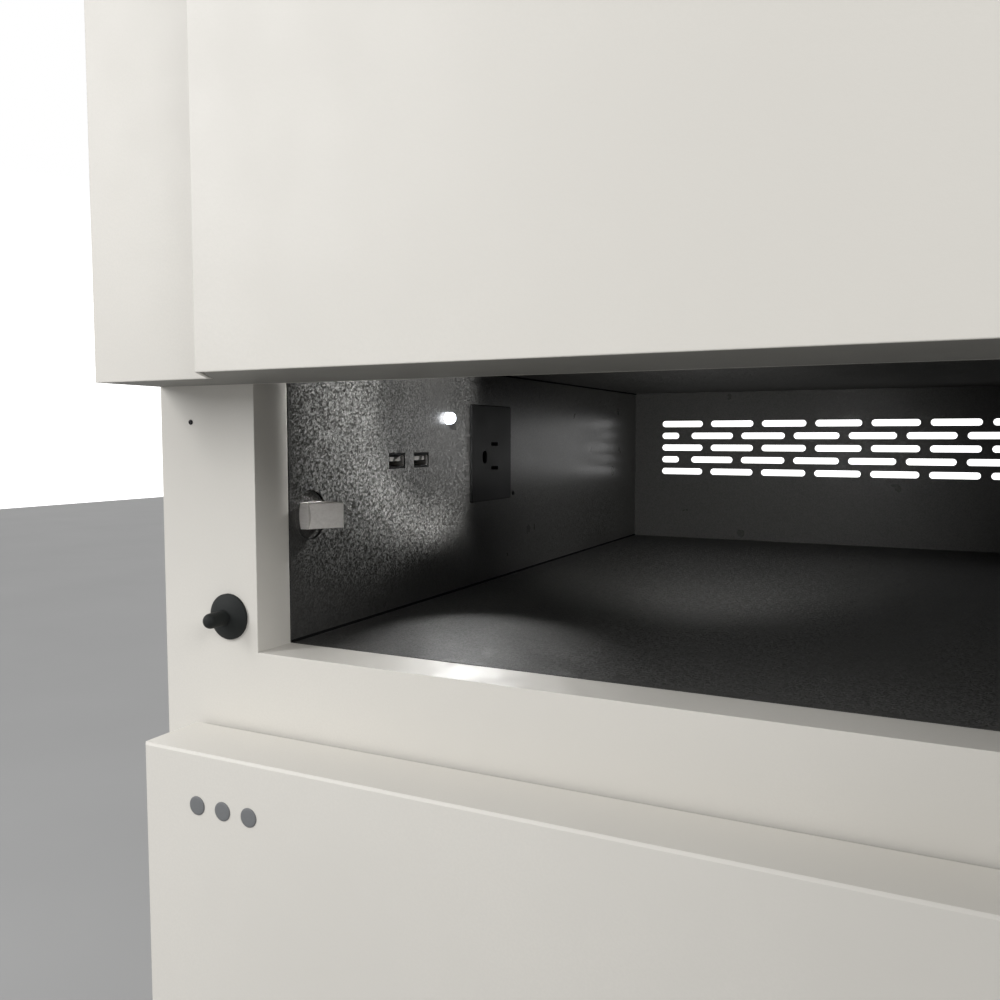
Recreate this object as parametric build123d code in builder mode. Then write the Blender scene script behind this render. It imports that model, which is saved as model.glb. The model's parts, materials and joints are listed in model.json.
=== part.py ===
from build123d import *
import os

# Phone charging kiosk: a counter-top tower of four lockable charging bays under a touch console.
# Millimetres. The origin is the centre of the base, on the surface that the feet stand on. +Z is up, the
# doors face -Y, and they hinge on the +X side.

os.makedirs("parts", exist_ok=True)

# ---- cabinet -------------------------------------------------------------------------------------
half_width = 187
front_y = -218.5
rear_y = 218.5
top_z = 790
foot_height = 12
sheet = 1.2
rear_sheet = 1.5
base_sheet = 2

# ---- bays ----------------------------------------------------------------------------------------
bay_count = 4
bay_pitch = 120
first_floor_z = 75
bay_floors = [first_floor_z + bay_pitch * n for n in range(bay_count)]
bay_left = -143
bay_right = 155
bay_height = 110.3
opening_height = 88
top_opening_height = 95
liner_sheet = 1.5
liner_front_y = -200.1
liner_rear_y = rear_y - rear_sheet
flange_rear_y = -200.7
floor_seam = 0.4
ceiling_seam = 1.0

# ---- console hood --------------------------------------------------------------------------------
hood_front_y = -247
console_front_y = -269.5
console_right = 136.5
console_left = -console_right
console_top_z = 784
console_side_bevel = 17
console_top_bevel = 14
soffit_z = bay_floors[-1] + top_opening_height
cover_z = top_z - sheet

# ---- doors ---------------------------------------------------------------------------------------
door_left = -170
door_front_y = -246
door_back_y = -220.5
door_depth = door_back_y - door_front_y
door_height = 116
door_drop = 24
hinge_x = 167
hinge_y = (door_front_y + door_back_y) / 2
hinge_pin_radius = 3
hinge_clearance = 0.05
inner_panel_y = -230.8
pivot_plate_thickness = 2
pivot_gap = 1

# ---- latch ---------------------------------------------------------------------------------------
latch_y = -187.2
latch_rise = 46.7
barrel_radius = 9
barrel_gap = 0.5
barrel_recess = 0.6
bolt_height = 9.9
bolt_half_depth = 5.65
bolt_bulge = 0.85
bolt_reach = 10.9
bolt_length = 36
bolt_clearance = 0.08
bolt_back_y = latch_y + bolt_half_depth
shoulder_reach = 2.75
shoulder_crown = 0.9
neck_reach = 3.6
neck_inset = 0.65
nose_height = 9.56
tongue_x = -137
tongue_thickness = 2

# ---- buffer --------------------------------------------------------------------------------------
buffer_x = -155.8
buffer_rise = 12
buffer_reach = 12
buffer_radius = 2.7
buffer_clearance = 0.05

# ---- charging fittings on the left liner wall ----------------------------------------------------
usb_ys = [-126.5, -105.8]
usb_rise = 66
usb_cutout = (13.2, 6.9)
usb_mouth = (12.5, 5.12)
lamp_y = -81.2
lamp_rise = 85.7
lamp_radius = 2.8
outlet_y = -35.6
outlet_rise = 68.1
outlet_plate = (45.8, 50.2)
outlet_body = (34, 40)
wall_screw_y = -6.9
wall_screw_rise = 45.2

# ---- rear vents ----------------------------------------------------------------------------------
vent_start = bay_left + 21.4
vent_slot = 31.2
vent_height = 4.6
vent_period = 37.36
vent_row_pitch = 9.0
vent_top_rise = 86.7
vent_short_slot = 13.2
vent_stagger = 22.6
vent_end = vent_start + 6 * vent_period + vent_slot

# ---- mains inlet and switch ----------------------------------------------------------------------
inlet_x = -165
inlet_z = 40
rocker_z = 66
rocker_y = 214
rocker_tilt = 8


def at_x(x):
    """A sketch plane at X = x, drawn in (Y, Z), extruding towards +X."""
    return Plane.YZ.offset(x)


def at_y(y):
    """A sketch plane at Y = y, drawn in (X, Z), extruding towards -Y."""
    return Plane.XZ.offset(-y)


def span(low_u, high_u, low_v, high_v, mode=Mode.ADD):
    """A rectangle between two corners of the current sketch."""
    with Locations(((low_u + high_u) / 2, (low_v + high_v) / 2)):
        Rectangle(high_u - low_u, high_v - low_v, mode=mode)


# ==== cabinet =====================================================================================
foot_spacing = (300, 350)
foot_radius = 17
foot_taper = 6
with BuildPart() as feet:
    with BuildSketch():
        with GridLocations(*foot_spacing, 2, 2):
            Circle(foot_radius)
    extrude(amount=foot_height, taper=foot_taper)
feet.part.label = "levelling_feet"
export_step(feet.part, "parts/levelling_feet.step")

anchor_spacing = (240, 300)
anchor_radius = 4.5
tray_height = 30
with BuildPart() as base_tray:
    with BuildSketch(Plane.XY.offset(foot_height)):
        span(-half_width + sheet, half_width - sheet, front_y + sheet, liner_rear_y)
    extrude(amount=tray_height)
    with BuildSketch(Plane.XY.offset(foot_height + base_sheet)):
        span(-half_width + sheet + base_sheet, half_width - sheet - base_sheet,
             front_y + sheet + base_sheet, liner_rear_y)
    extrude(amount=tray_height, mode=Mode.SUBTRACT)
    with BuildSketch(Plane.XY.offset(foot_height)):
        with GridLocations(*anchor_spacing, 2, 2):
            Circle(anchor_radius)
    extrude(amount=base_sheet, mode=Mode.SUBTRACT)
base_tray.part.label = "base_tray"
export_step(base_tray.part, "parts/base_tray.step")

for side, low_x in (("left", -half_width), ("right", half_width - sheet)):
    with BuildPart() as side_panel:
        with BuildSketch(at_x(low_x)):
            span(front_y + sheet, rear_y, foot_height, cover_z)
        extrude(amount=sheet)
    side_panel.part.label = f"side_panel_{side}"
    export_step(side_panel.part, f"parts/side_panel_{side}.step")

frame_top_z = bay_floors[-1] + bay_height + 3
flange_rise = 108
opening_tops = [floor + opening_height for floor in bay_floors[:-1]] + [soffit_z]
buffer_hole_radius = buffer_radius + 0.5
with BuildPart() as front_frame:
    with BuildSketch(at_y(front_y + sheet)):
        span(-half_width, half_width, foot_height, soffit_z)
        span(-half_width + sheet, half_width - sheet, soffit_z, frame_top_z)
        for floor, opening_top in zip(bay_floors, opening_tops):
            span(bay_left, bay_right, floor, opening_top, mode=Mode.SUBTRACT)
            with Locations((buffer_x, floor + buffer_rise)):
                Circle(buffer_hole_radius, mode=Mode.SUBTRACT)
    extrude(amount=sheet)
    # A return flange runs down both sides and across the bottom of each opening, and on up behind its top.
    with BuildSketch(at_y(flange_rear_y)):
        for floor in bay_floors:
            span(bay_left - sheet, bay_right + sheet, floor - sheet, floor + flange_rise)
            span(bay_left, bay_right, floor, floor + flange_rise, mode=Mode.SUBTRACT)
    extrude(amount=flange_rear_y - front_y - sheet)
front_frame.part.label = "front_frame"
export_step(front_frame.part, "parts/front_frame.step")


def vent_rows(floor):
    """The (left, right, height) of every slot behind one bay, for the current sketch."""
    slots = []
    for row in range(5):
        z = floor + vent_top_rise - row * vent_row_pitch
        if row % 2 == 0:
            lefts = [vent_start + k * vent_period for k in range(7)]
            slots += [(left, left + vent_slot, z) for left in lefts]
        else:
            lefts = [vent_start + vent_stagger + k * vent_period for k in range(6)]
            slots.append((vent_start, vent_start + vent_short_slot, z))
            slots += [(left, left + vent_slot, z) for left in lefts]
            slots.append((lefts[-1] + vent_period, vent_end, z))
    return slots


inlet_flange = (40, 62)
inlet_body = (31, 51)
inlet_flange_z = (inlet_z + rocker_z) / 2
hood_vent_slot = 40
hood_vent_pitch = (52, 14)
hood_vent_low_z = 640
with BuildPart() as rear_panel:
    with BuildSketch(at_y(rear_y)):
        span(-half_width + sheet, half_width - sheet, foot_height, cover_z)
        for floor in bay_floors:
            for left, right, z in vent_rows(floor):
                with Locations(((left + right) / 2, z)):
                    SlotOverall(right - left, vent_height, mode=Mode.SUBTRACT)
        for row in range(4):
            for column in range(-2, 3):
                with Locations((column * hood_vent_pitch[0], hood_vent_low_z + row * hood_vent_pitch[1])):
                    SlotOverall(hood_vent_slot, vent_height, mode=Mode.SUBTRACT)
        with Locations((inlet_x, inlet_flange_z)):
            Rectangle(inlet_body[0] + 1, inlet_body[1] + 1, mode=Mode.SUBTRACT)
    extrude(amount=rear_sheet)
rear_panel.part.label = "rear_panel"
export_step(rear_panel.part, "parts/rear_panel.step")

with BuildPart() as top_cover:
    with BuildSketch(Plane.XY.offset(cover_z)):
        span(-half_width, half_width, hood_front_y, rear_y)
    extrude(amount=sheet)
    fillet(top_cover.edges().filter_by(Axis.Z).group_by(Axis.Y)[0], 0.8)
top_cover.part.label = "top_cover"
export_step(top_cover.part, "parts/top_cover.step")

# ==== console hood ================================================================================
glass_left, glass_right = -107, 75
glass_low, glass_high = 640, 762
reader_left, reader_right = 86, 114
reader_low, reader_high = 671, 731
window_margin = 24
reader_clearance = 0.3
glass_hole_margin = 2

with BuildPart() as console_hood:
    with BuildSketch(Plane.XY.offset(soffit_z)):
        span(-half_width, half_width, hood_front_y, front_y + sheet)
        span(-half_width + sheet, half_width - sheet, hood_front_y + sheet, front_y + sheet,
             mode=Mode.SUBTRACT)
    extrude(amount=cover_z - soffit_z)
    # A pass-through behind the raised console, and a notch that lets the soffit run under it.
    with BuildSketch(at_y(hood_front_y + sheet)):
        span(console_left + sheet, console_right - sheet, soffit_z, soffit_z + sheet)
        span(console_left + window_margin, console_right - window_margin, glass_low, glass_high)
    extrude(amount=sheet, mode=Mode.SUBTRACT)
console_hood.part.label = "console_hood"
export_step(console_hood.part, "parts/console_hood.step")

console_front_left = console_left + console_side_bevel
console_front_right = console_right - console_side_bevel
with BuildPart() as console_panel:
    with BuildSketch(at_y(hood_front_y)):
        span(console_left, console_right, soffit_z, console_top_z)
    with BuildSketch(at_y(console_front_y)):
        span(console_front_left, console_front_right, soffit_z, console_top_z - console_top_bevel)
    loft(ruled=True)
    rear_face = console_panel.faces().sort_by(Axis.Y)[-1]
    bottom_face = console_panel.faces().sort_by(Axis.Z)[0]
    offset(amount=-sheet, openings=[rear_face, bottom_face])
    with BuildSketch(at_y(console_front_y + 2 * sheet)):
        span(glass_left - glass_hole_margin, glass_right + glass_hole_margin,
             glass_low - glass_hole_margin, glass_high + glass_hole_margin)
        span(reader_left - reader_clearance, reader_right + reader_clearance,
             reader_low - reader_clearance, reader_high + reader_clearance)
    extrude(amount=3 * sheet, mode=Mode.SUBTRACT)
console_panel.part.label = "console_panel"
export_step(console_panel.part, "parts/console_panel.step")

inset = 1.5 * sheet
with BuildPart() as hood_soffit:
    with BuildSketch(Plane.XY.offset(soffit_z)):
        span(-half_width + sheet, half_width - sheet, hood_front_y + sheet, front_y)
        with BuildLine():
            Polyline((console_left + inset, hood_front_y + sheet),
                     (console_left + inset, hood_front_y),
                     (console_front_left + inset, console_front_y + sheet),
                     (console_front_right - inset, console_front_y + sheet),
                     (console_right - inset, hood_front_y),
                     (console_right - inset, hood_front_y + sheet), close=True)
        make_face()
    extrude(amount=sheet)
hood_soffit.part.label = "hood_soffit"
export_step(hood_soffit.part, "parts/hood_soffit.step")

bezel_border = 6
bezel_corner = 5
bezel_chamfer = 0.6
bezel_proud = 1.2
bezel_depth = 6
bezel_wall = 1.8
glass_centre = ((glass_left + glass_right) / 2, (glass_low + glass_high) / 2)
glass_size = (glass_right - glass_left, glass_high - glass_low)
with BuildPart() as display_bezel:
    with BuildSketch(at_y(console_front_y)):
        with Locations(glass_centre):
            RectangleRounded(glass_size[0] + 2 * bezel_border, glass_size[1] + 2 * bezel_border,
                             bezel_corner)
    extrude(amount=bezel_proud)
    with BuildSketch(at_y(console_front_y + bezel_depth)):
        with Locations(glass_centre):
            Rectangle(glass_size[0] + 2 * bezel_wall, glass_size[1] + 2 * bezel_wall)
    extrude(amount=bezel_depth)
    with BuildSketch(at_y(console_front_y + bezel_depth)):
        with Locations(glass_centre):
            Rectangle(*glass_size)
    extrude(amount=bezel_depth + bezel_proud, mode=Mode.SUBTRACT)
    chamfer(display_bezel.faces().sort_by(Axis.Y)[0].inner_wires().edges(), bezel_chamfer)
display_bezel.part.label = "display_bezel"
export_step(display_bezel.part, "parts/display_bezel.step")

glass_thickness = 3
glass_gap = 0.2
with BuildPart() as display_glass:
    with BuildSketch(at_y(console_front_y + glass_thickness)):
        with Locations(glass_centre):
            Rectangle(glass_size[0] - 2 * glass_gap, glass_size[1] - 2 * glass_gap)
    extrude(amount=glass_thickness)
display_glass.part.label = "display_glass"
export_step(display_glass.part, "parts/display_glass.step")

display_front_y = console_front_y + bezel_depth + 1
display_back_y = display_front_y + 9
display_margin = 4
driver_size = (90, 60)
driver_drop = 10
driver_depth = 6
with BuildPart() as display_board:
    with BuildSketch(at_y(display_back_y)):
        with Locations(glass_centre):
            RectangleRounded(glass_size[0] - 2 * display_margin, glass_size[1] - 2 * display_margin, 3)
    extrude(amount=display_back_y - display_front_y)
    with BuildSketch(at_y(display_back_y + driver_depth)):
        with Locations((glass_centre[0], glass_centre[1] - driver_drop)):
            Rectangle(*driver_size)
    extrude(amount=driver_depth)
display_board.part.label = "display_board"
export_step(display_board.part, "parts/display_board.step")

reader_proud = 1.0
reader_depth = 14
reader_corner = 2
reader_edge = 0.6
with BuildPart() as card_reader:
    with BuildSketch(at_y(console_front_y + reader_depth)):
        with Locations(((reader_left + reader_right) / 2, (reader_low + reader_high) / 2)):
            RectangleRounded(reader_right - reader_left, reader_high - reader_low, reader_corner)
    extrude(amount=reader_depth + reader_proud)
    fillet(card_reader.faces().sort_by(Axis.Y)[0].edges(), reader_edge)
card_reader.part.label = "card_reader"
export_step(card_reader.part, "parts/card_reader.step")

# ==== bay liner ===================================================================================
liner_low_z = first_floor_z - liner_sheet
liner_high_z = bay_floors[-1] + bay_height + liner_sheet
lamp_clearance = 0.1
outlet_clearance = 0.2
floor_web = 20
ceiling_web = 12

with BuildPart() as liner_wall_left:
    with BuildSketch(at_x(bay_left - liner_sheet)):
        span(liner_front_y, liner_rear_y, liner_low_z, liner_high_z)
        for floor in bay_floors:
            with Locations((latch_y, floor + latch_rise)):
                Circle(barrel_radius + barrel_gap, mode=Mode.SUBTRACT)
            for usb_y in usb_ys:
                with Locations((usb_y, floor + usb_rise)):
                    Rectangle(*usb_cutout, mode=Mode.SUBTRACT)
            with Locations((lamp_y, floor + lamp_rise)):
                Circle(lamp_radius + lamp_clearance, mode=Mode.SUBTRACT)
            with Locations((outlet_y, floor + outlet_rise)):
                Rectangle(outlet_body[0] + 2 * outlet_clearance, outlet_body[1] + 2 * outlet_clearance,
                          mode=Mode.SUBTRACT)
    extrude(amount=liner_sheet)
liner_wall_left.part.label = "liner_wall_left"
export_step(liner_wall_left.part, "parts/liner_wall_left.step")

with BuildPart() as liner_wall_right:
    with BuildSketch(at_x(bay_right)):
        span(liner_front_y, liner_rear_y, liner_low_z, liner_high_z)
    extrude(amount=liner_sheet)
liner_wall_right.part.label = "liner_wall_right"
export_step(liner_wall_right.part, "parts/liner_wall_right.step")


def skin_outline(seam):
    """A bay's floor or ceiling seen from above, for the current sketch."""
    span(bay_left + seam, bay_right - seam, liner_front_y, liner_rear_y)


def web_outline(seam):
    """The folded front edge of a shelf seen from above, for the current sketch."""
    span(bay_left + seam, bay_right - seam, liner_front_y, liner_front_y + liner_sheet)


with BuildPart() as floor_pan:
    with BuildSketch(Plane.XY.offset(first_floor_z - liner_sheet)):
        skin_outline(floor_seam)
    extrude(amount=liner_sheet)
    with BuildSketch(Plane.XY.offset(first_floor_z - floor_web)):
        web_outline(floor_seam)
    extrude(amount=floor_web)
floor_pan.part.label = "floor_pan_1"
export_step(floor_pan.part, "parts/floor_pan_1.step")

for number in range(2, bay_count + 1):
    floor = bay_floors[number - 1]
    ceiling = bay_floors[number - 2] + bay_height
    with BuildPart() as shelf_pan:
        with BuildSketch(Plane.XY.offset(floor - liner_sheet)):
            skin_outline(floor_seam)
        extrude(amount=liner_sheet)
        with BuildSketch(Plane.XY.offset(ceiling)):
            skin_outline(ceiling_seam)
        extrude(amount=liner_sheet)
        with BuildSketch(Plane.XY.offset(ceiling)):
            web_outline(ceiling_seam)
        extrude(amount=floor - ceiling)
    shelf_pan.part.label = f"shelf_pan_{number}"
    export_step(shelf_pan.part, f"parts/shelf_pan_{number}.step")

top_ceiling_z = bay_floors[-1] + bay_height
with BuildPart() as ceiling_pan:
    with BuildSketch(Plane.XY.offset(top_ceiling_z)):
        skin_outline(ceiling_seam)
    extrude(amount=liner_sheet)
    with BuildSketch(Plane.XY.offset(top_ceiling_z)):
        web_outline(ceiling_seam)
    extrude(amount=ceiling_web)
ceiling_pan.part.label = "ceiling_pan_4"
export_step(ceiling_pan.part, "parts/ceiling_pan_4.step")

# ==== charging fittings ===========================================================================
usb_body = (44, 18)
usb_depth = 22
usb_fit = 0.1
usb_recess = 0.3
usb_socket_depth = 11
usb_tongue = (11, 1.9)
usb_tongue_rise = 1.0
usb_tongue_recess = 1.5
usb_mid = sum(usb_ys) / 2
for number, floor in enumerate(bay_floors, 1):
    usb_z = floor + usb_rise
    with BuildPart() as usb_module:
        with BuildSketch(at_x(bay_left - liner_sheet - usb_depth)):
            with Locations((usb_mid, usb_z)):
                Rectangle(*usb_body)
        extrude(amount=usb_depth)
        with BuildSketch(at_x(bay_left - liner_sheet)):
            for usb_y in usb_ys:
                with Locations((usb_y, usb_z)):
                    Rectangle(usb_cutout[0] - 2 * usb_fit, usb_cutout[1] - 2 * usb_fit)
        extrude(amount=liner_sheet - usb_recess)
        with BuildSketch(at_x(bay_left - usb_socket_depth)):
            for usb_y in usb_ys:
                with Locations((usb_y, usb_z)):
                    Rectangle(*usb_mouth)
        extrude(amount=usb_socket_depth, mode=Mode.SUBTRACT)
        with BuildSketch(at_x(bay_left - usb_socket_depth)):
            for usb_y in usb_ys:
                with Locations((usb_y, usb_z + usb_tongue_rise)):
                    Rectangle(*usb_tongue)
        extrude(amount=usb_socket_depth - usb_tongue_recess)
    usb_module.part.label = f"usb_module_{number}"
    export_step(usb_module.part, f"parts/usb_module_{number}.step")

outlet_proud = 1.6
outlet_corner = 1.2
outlet_edge = 0.5
outlet_depth = 26
slot_depth = 14
blade_slot = (8, 1.9)
ground_slot = (6.8, 5)
blade_y = -33.1
blade_rises = (72.9, 60.2)
ground_y = -44.6
ground_rise = 66.2
for number, floor in enumerate(bay_floors, 1):
    with BuildPart() as outlet:
        with BuildSketch(at_x(bay_left)):
            with Locations((outlet_y, floor + outlet_rise)):
                RectangleRounded(*outlet_plate, outlet_corner)
        extrude(amount=outlet_proud)
        fillet(outlet.faces().sort_by(Axis.X)[-1].edges(), outlet_edge)
        with BuildSketch(at_x(bay_left - outlet_depth)):
            with Locations((outlet_y, floor + outlet_rise)):
                Rectangle(*outlet_body)
        extrude(amount=outlet_depth)
        with BuildSketch(at_x(bay_left - slot_depth)):
            for rise in blade_rises:
                with Locations((blade_y, floor + rise)):
                    Rectangle(*blade_slot)
            with Locations((ground_y, floor + ground_rise)):
                SlotOverall(*ground_slot, rotation=90)
        extrude(amount=slot_depth + outlet_proud, mode=Mode.SUBTRACT)
    outlet.part.label = f"mains_outlet_{number}"
    export_step(outlet.part, f"parts/mains_outlet_{number}.step")

lamp_reach = 4
lamp_tail = 8
lamp_dome = 2
with BuildPart() as bay_lamps:
    with BuildSketch(at_x(bay_left - lamp_tail)):
        for floor in bay_floors:
            with Locations((lamp_y, floor + lamp_rise)):
                Circle(lamp_radius)
    extrude(amount=lamp_tail + lamp_reach)
    fillet(bay_lamps.faces().group_by(Axis.X)[-1].edges(), lamp_dome)
bay_lamps.part.label = "bay_lamps"
export_step(bay_lamps.part, "parts/bay_lamps.step")

# ==== latches =====================================================================================
bolt_stroke = bolt_reach - 0.4
bolt_tail_x = bay_left + bolt_reach - bolt_length
housing_wall = 1.5
housing_rear_x = bolt_tail_x - bolt_stroke - housing_wall - 0.5


def bolt_section(floor, x, clearance=0.0):
    """The bolt's section on the plane X = x: flat but for a bulged front."""
    z = floor + latch_rise
    half_z = bolt_height / 2 + clearance
    corner = bolt_half_depth + clearance
    front, back = latch_y - corner, latch_y + corner
    with BuildSketch(at_x(x)) as section:
        with BuildLine():
            ThreePointArc((front, z - half_z), (front - bolt_bulge, z), (front, z + half_z))
            Polyline((front, z + half_z), (back, z + half_z), (back, z - half_z), (front, z - half_z))
        make_face()
    return section.sketch


housing_half_height = 17
housing_back_y = latch_y + 20
with BuildPart() as latch_housings:
    with BuildSketch(at_x(housing_rear_x)):
        for floor in bay_floors:
            span(liner_front_y, housing_back_y,
                 floor + latch_rise - housing_half_height, floor + latch_rise + housing_half_height)
    extrude(amount=bay_left - liner_sheet - housing_rear_x)
    with BuildSketch(at_x(bay_left - liner_sheet)):
        for floor in bay_floors:
            with Locations((latch_y, floor + latch_rise)):
                Circle(barrel_radius)
    extrude(amount=liner_sheet - barrel_recess)
    for floor in bay_floors:
        bore = bolt_section(floor, housing_rear_x + housing_wall, bolt_clearance)
        extrude(bore, amount=bay_left - housing_rear_x, mode=Mode.SUBTRACT)
latch_housings.part.label = "latch_housings"
export_step(latch_housings.part, "parts/latch_housings.step")

bolt_tip_x = bay_left + bolt_reach
shoulder_x = bay_left + shoulder_reach
crown_x = shoulder_x + shoulder_crown
neck_x = bay_left + neck_reach
neck_front_y = latch_y - bolt_half_depth + neck_inset
tip_flat = 0.3
for number, floor in enumerate(bay_floors, 1):
    low_z = floor + latch_rise - bolt_height / 2
    high_z = low_z + bolt_height
    with BuildPart() as latch_bolt:
        extrude(bolt_section(floor, bolt_tail_x), amount=crown_x - bolt_tail_x)
        with BuildSketch(at_y(bolt_back_y)):
            with BuildLine():
                ThreePointArc((shoulder_x, low_z), (crown_x, floor + latch_rise), (shoulder_x, high_z))
                Polyline((shoulder_x, high_z), (bolt_tail_x, high_z),
                         (bolt_tail_x, low_z), (shoulder_x, low_z))
            make_face()
        extrude(amount=4 * bolt_half_depth, mode=Mode.INTERSECT)
        # The front of the nose slopes back to its tip, so that a closing strike pushes the bolt in.
        with BuildSketch(Plane.XY.offset(floor + latch_rise - nose_height / 2)):
            with BuildLine():
                Polyline((bay_left, neck_front_y), (neck_x, neck_front_y),
                         (bolt_tip_x, bolt_back_y - tip_flat), (bolt_tip_x, bolt_back_y),
                         (bay_left, bolt_back_y), close=True)
            make_face()
        extrude(amount=nose_height)
    latch_bolt.part.label = f"latch_bolt_{number}"
    export_step(latch_bolt.part, f"parts/latch_bolt_{number}.step")

# ==== buffers =====================================================================================
buffer_flange_radius = 8.3
buffer_dome = 3.2
buffer_rim = 1.0
dome_radius = 5.9
dome_rise = 2.4
with BuildPart() as buffer_flanges:
    for floor in bay_floors:
        with BuildSketch(Plane.XY.offset(floor + buffer_rise)):
            with BuildLine():
                bore = buffer_x + buffer_radius + buffer_clearance
                rim = buffer_x + buffer_flange_radius
                Line((bore, front_y), (rim, front_y))
                Line((rim, front_y), (rim, front_y - buffer_rim))
                ThreePointArc((rim, front_y - buffer_rim),
                              (buffer_x + dome_radius, front_y - dome_rise), (bore, front_y - buffer_dome))
                Line((bore, front_y - buffer_dome), (bore, front_y))
            make_face()
        revolve(axis=Axis((buffer_x, 0, floor + buffer_rise), (0, 1, 0)))
buffer_flanges.part.label = "buffer_flanges"
export_step(buffer_flanges.part, "parts/buffer_flanges.step")

buffer_tail_y = -198
buffer_collar_y = -209
buffer_collar_radius = 5.2
buffer_collar = 2
buffer_tip = buffer_radius - 0.3
for number, floor in enumerate(bay_floors, 1):
    with BuildPart() as buffer_pin:
        with BuildSketch(at_y(buffer_tail_y)):
            with Locations((buffer_x, floor + buffer_rise)):
                Circle(buffer_radius)
        extrude(amount=buffer_tail_y - front_y + buffer_reach)
        fillet(buffer_pin.faces().sort_by(Axis.Y)[0].edges(), buffer_tip)
        with BuildSketch(at_y(buffer_collar_y)):
            with Locations((buffer_x, floor + buffer_rise)):
                Circle(buffer_collar_radius)
        extrude(amount=buffer_collar)
    buffer_pin.part.label = f"buffer_pin_{number}"
    export_step(buffer_pin.part, f"parts/buffer_pin_{number}.step")

# ==== doors =======================================================================================
door_radius = door_depth / 2
door_edge = 0.8
rear_wrap_x = 155
bush_radius = 6
bush_length = 10
tray_fit = 0.3
tray_rim = 7
strike_height = 22
strike_foot = 24
strike_sheet = 1.6
window_clearance = 0.5
window_back_y = bolt_back_y + 2.3
tongue_back_y = window_back_y + 3
top_door_angle = 105


def door_outline(z, inset=0.0):
    """The door seen from above, on the plane Z = z: a pan with a half-round edge about the hinge axis."""
    left = door_left + inset
    front = door_front_y + inset
    back = door_back_y - inset
    with BuildSketch(Plane.XY.offset(z)) as outline:
        with BuildLine():
            Line((left, back), (left, front))
            Line((left, front), (hinge_x, front))
            ThreePointArc((hinge_x, front), (hinge_x + door_radius - inset, hinge_y), (hinge_x, back))
            Line((hinge_x, back), (left, back))
        make_face()
    return outline.sketch


def make_door_shell(floor):
    """The outer pan, open at the back, with a bush at each end of the hinge axis."""
    low_z = floor - door_drop
    with BuildPart() as shell:
        extrude(door_outline(low_z), amount=door_height)
        front_edges = shell.faces().sort_by(Axis.Y)[0].edges().filter_by(Axis.X)
        left_edge = shell.faces().sort_by(Axis.Y)[0].edges().filter_by(Axis.Z).sort_by(Axis.X)[0]
        chamfer([*front_edges, left_edge], door_edge)
        hollow = door_outline(low_z + sheet, sheet)
        extrude(hollow, amount=door_height - 2 * sheet, mode=Mode.SUBTRACT)
        with BuildSketch(Plane.XY.offset(low_z + sheet)):
            span(door_left + sheet, rear_wrap_x, hinge_y, door_back_y)
        extrude(amount=door_height - 2 * sheet, mode=Mode.SUBTRACT)
        for bush_z in (low_z + sheet, low_z + door_height - sheet - bush_length):
            with BuildSketch(Plane.XY.offset(bush_z)):
                with Locations((hinge_x, hinge_y)):
                    Circle(bush_radius)
            extrude(amount=bush_length)
        with BuildSketch(Plane.XY.offset(low_z)):
            with Locations((hinge_x, hinge_y)):
                Circle(hinge_pin_radius + hinge_clearance)
        extrude(amount=door_height, mode=Mode.SUBTRACT)
    return shell.part


def make_door_inner(floor):
    """The tray that closes the pan, with a folded rim that points at the front."""
    low_z = floor - door_drop + sheet + tray_fit
    high_z = floor - door_drop + door_height - sheet - tray_fit
    left, right = door_left + sheet + tray_fit, rear_wrap_x - tray_fit
    with BuildPart() as inner:
        with BuildSketch(at_y(inner_panel_y)):
            span(left, right, low_z, high_z)
        extrude(amount=tray_rim)
        with BuildSketch(at_y(inner_panel_y - sheet)):
            span(left + sheet, right - sheet, low_z + sheet, high_z - sheet)
        extrude(amount=tray_rim, mode=Mode.SUBTRACT)
    return inner.part


def make_door_strike(floor):
    """A bracket whose tongue runs back beside the liner wall, with the window the bolt enters."""
    z = floor + latch_rise
    with BuildPart() as strike:
        with BuildSketch(Plane.XY.offset(z - strike_height / 2)):
            span(tongue_x, tongue_x + strike_foot, inner_panel_y, inner_panel_y + strike_sheet)
            span(tongue_x, tongue_x + tongue_thickness, inner_panel_y, tongue_back_y)
        extrude(amount=strike_height)
        with BuildSketch(at_x(tongue_x)):
            span(latch_y - bolt_half_depth - window_clearance, window_back_y,
                 z - bolt_height / 2 - window_clearance, z + bolt_height / 2 + window_clearance)
        extrude(amount=tongue_thickness, mode=Mode.SUBTRACT)
    return strike.part


hinge_axis = Axis((hinge_x, hinge_y, 0), (0, 0, 1))
for number, floor in enumerate(bay_floors, 1):
    # The top door stands open, and the others are shut.
    angle = top_door_angle if number == bay_count else 0
    door_shell = make_door_shell(floor).rotate(hinge_axis, angle)
    door_shell.label = f"door_shell_{number}"
    export_step(door_shell, f"parts/door_shell_{number}.step")
    door_inner = make_door_inner(floor).rotate(hinge_axis, angle)
    door_inner.label = f"door_inner_{number}"
    export_step(door_inner, f"parts/door_inner_{number}.step")
    door_strike = make_door_strike(floor).rotate(hinge_axis, angle)
    door_strike.label = f"door_strike_{number}"
    export_step(door_strike, f"parts/door_strike_{number}.step")

pivot_radius = 8
pivot_clearance = 0.02
pivot_lows = [floor - door_drop - pivot_gap - pivot_plate_thickness for floor in bay_floors]
pivot_lows.append(bay_floors[-1] - door_drop + door_height + pivot_gap)
with BuildPart() as pivot_plates:
    for low_z in pivot_lows:
        with BuildSketch(Plane.XY.offset(low_z)):
            span(hinge_x - pivot_radius, hinge_x + pivot_radius, hinge_y, front_y)
            with Locations((hinge_x, hinge_y)):
                Circle(pivot_radius)
                Circle(hinge_pin_radius + pivot_clearance, mode=Mode.SUBTRACT)
        extrude(amount=pivot_plate_thickness)
pivot_plates.part.label = "pivot_plates"
export_step(pivot_plates.part, "parts/pivot_plates.step")

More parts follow.
